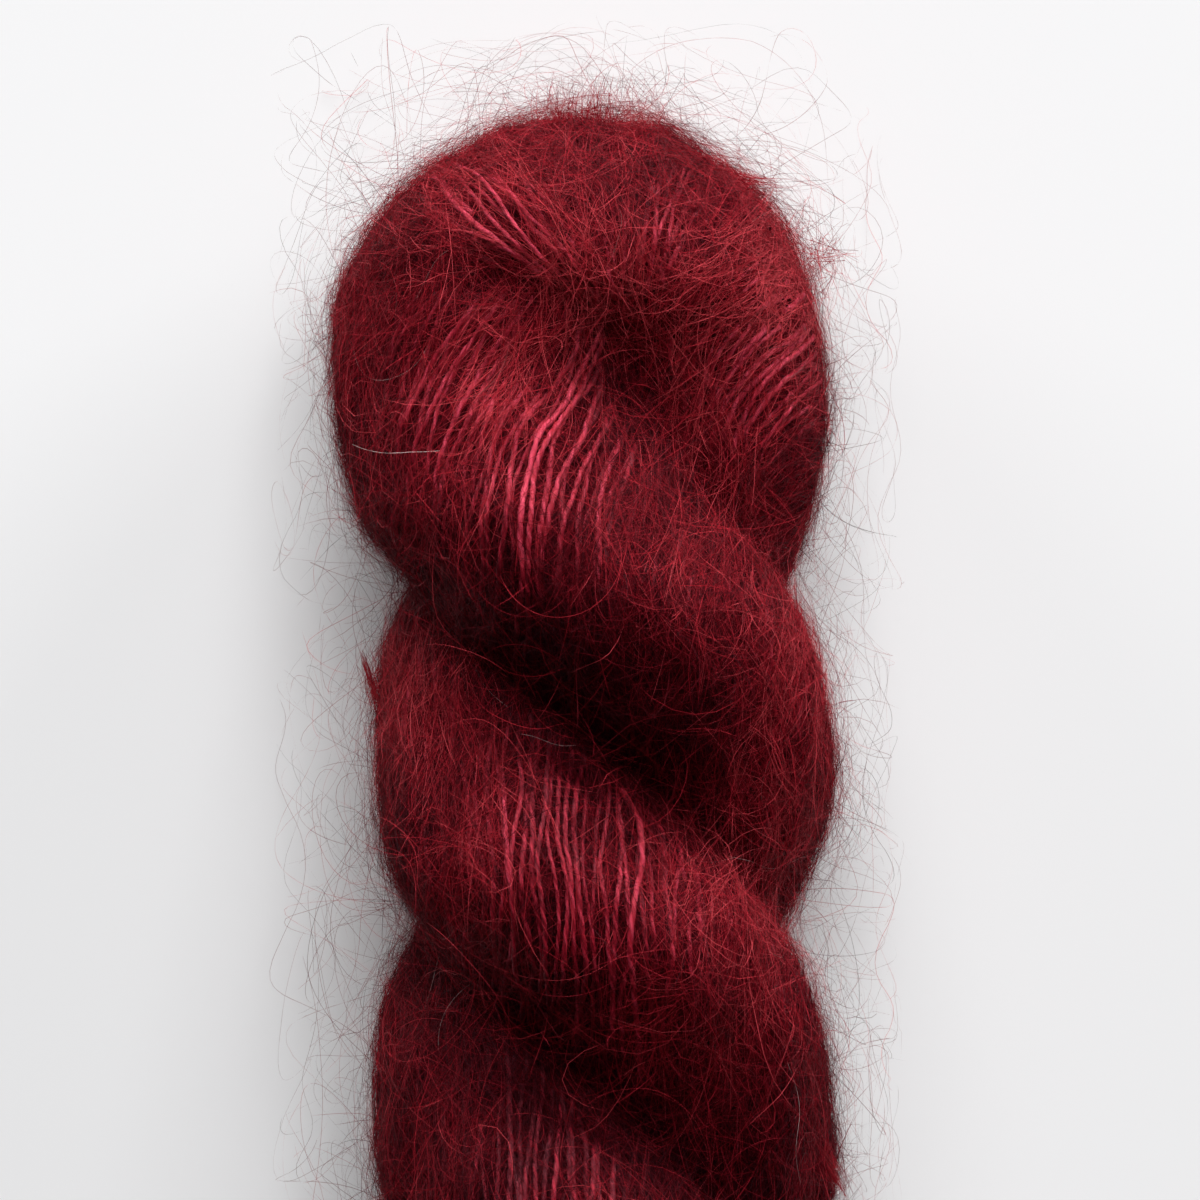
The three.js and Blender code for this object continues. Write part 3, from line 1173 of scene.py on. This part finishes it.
def pale_hair_piece():
    across, along, heading, lengths = np.array(PALE_HAIRS, float).T
    above = np.stack([across, along, np.full(len(across), 70.0)], -1)
    roots = np.array([tuple(surface.ray_cast(Vector(place), Vector((0, 0, -1)))[0]) for place in above])
    roots, normals = nearest_surface(roots)
    heading = np.radians(heading)
    headings = np.stack([np.cos(heading), np.sin(heading), 0 * heading], -1)
    strays, stray_normals, lay = scatter(PALE_STRAYS, face_areas)
    roots, normals = np.concatenate([roots, strays]), np.concatenate([normals, stray_normals])
    lay = turned(lay, stray_normals, chance.normal(0, 0.8, PALE_STRAYS))
    headings = np.concatenate([headings, lay])
    lengths = np.concatenate([lengths, chance.uniform(6, 22, PALE_STRAYS)])
    count = len(roots)
    curl, steady = np.full(count, 0.1), chance.uniform(0.08, 0.2, count)
    heights = chance.uniform(0.8, 2.2, count)
    points, facings = grow(roots, normals, headings, lengths, PALE_HAIR_STEPS, curl, steady, heights, 0.3)
    bundle = Bundle()
    ribbons(bundle, points, facings, chance.uniform(0.04, 0.075, count), chance.random(count), 0.5)
    return mesh_piece("pale_hairs", bundle, ("tone",), mohair_material("undyed_mohair", PALE_TONES))


pale_hair_piece()

# %% Triangles in all
triangles = 0
for piece in bpy.context.scene.objects:
    if piece.type == "MESH" and piece is not skein_node:
        triangles += sum(len(face.vertices) - 2 for face in piece.data.polygons)
print("triangles in all:", triangles)

# %% [markdown]
# ## Floor, light and camera
#
# A sheet of pale paper, a low window at the head's end, a weaker one to each side of it, one more
# higher up, and hardly any fill, so that the far side of each band falls into shade. The lights are
# wide, for soft shadows, and far away, so that the paper is lit evenly. The camera looks straight down.

# %% Floor
def paper_material():
    material, tree = new_material("pale_paper")
    fibre_finish(tree, {"Base Color": colour("#ececed"), "Roughness": 0.9, "Specular IOR Level": 0.1}, {})
    return material


def build_floor():
    bpy.ops.mesh.primitive_plane_add(size=6.0)
    floor = bpy.context.object
    floor.name = "paper"
    floor.data.materials.append(paper_material())
    return floor


build_floor()

# %% Light
def soft_light(name, place, aim, size, power):
    data = bpy.data.lights.new(name, "AREA")
    data.shape = "RECTANGLE"
    data.size, data.size_y = size
    data.energy = power
    light = bpy.data.objects.new(name, data)
    bpy.context.scene.collection.objects.link(light)
    light.location = place
    light.rotation_euler = (Vector(aim) - Vector(place)).to_track_quat("-Z", "Y").to_euler()
    return light


def studio_air():
    world = bpy.data.worlds.new("studio_air")
    world.use_nodes = True
    tree = world.node_tree
    tree.nodes.clear()
    fill = add_node(tree, "ShaderNodeBackground", {"Color": colour("#f4f6fa"), "Strength": 0.015})
    backdrop = add_node(tree, "ShaderNodeBackground", {"Color": colour("#e8eaec"), "Strength": 1.0})
    seen = add_node(tree, "ShaderNodeLightPath")
    air = add_node(
        tree,
        "ShaderNodeMixShader",
        links={0: seen.outputs["Is Camera Ray"], 1: fill.outputs[0], 2: backdrop.outputs[0]},
    )
    add_node(tree, "ShaderNodeOutputWorld", links={"Surface": air.outputs[0]})
    bpy.context.scene.world = world


LIT = (0, 0.03, 0)
soft_light("window", (0.2, 8.9, 1.97), LIT, (4.6, 2.1), 1120)
soft_light("right_wing", (6.9, 5.9, 2.1), LIT, (4.6, 2.5), 560)
soft_light("left_wing", (-6.9, 5.9, 2.1), LIT, (4.6, 2.5), 294)
soft_light("ceiling", (0.8, 5.2, 7.3), LIT, (6.3, 4.2), 620)
studio_air()
bpy.context.scene.view_settings.view_transform = "Standard"

# %% Camera
VIEW_CENTRE = (2.0 * MM, 57.5 * MM)
VIEW_WIDTH = 168 * MM
VIEW_PLANE = 25 * MM
SENSOR, LENS = 36.0, 400.0

camera_data = bpy.data.cameras.new("camera")
camera_data.sensor_width = SENSOR
camera_data.lens = LENS
camera_data.clip_start = 0.05
camera = bpy.data.objects.new("camera", camera_data)
camera.location = (*VIEW_CENTRE, VIEW_PLANE + VIEW_WIDTH * LENS / SENSOR)
bpy.context.scene.collection.objects.link(camera)
bpy.context.scene.camera = camera
print("camera height, m:", round(camera.location.z, 3))
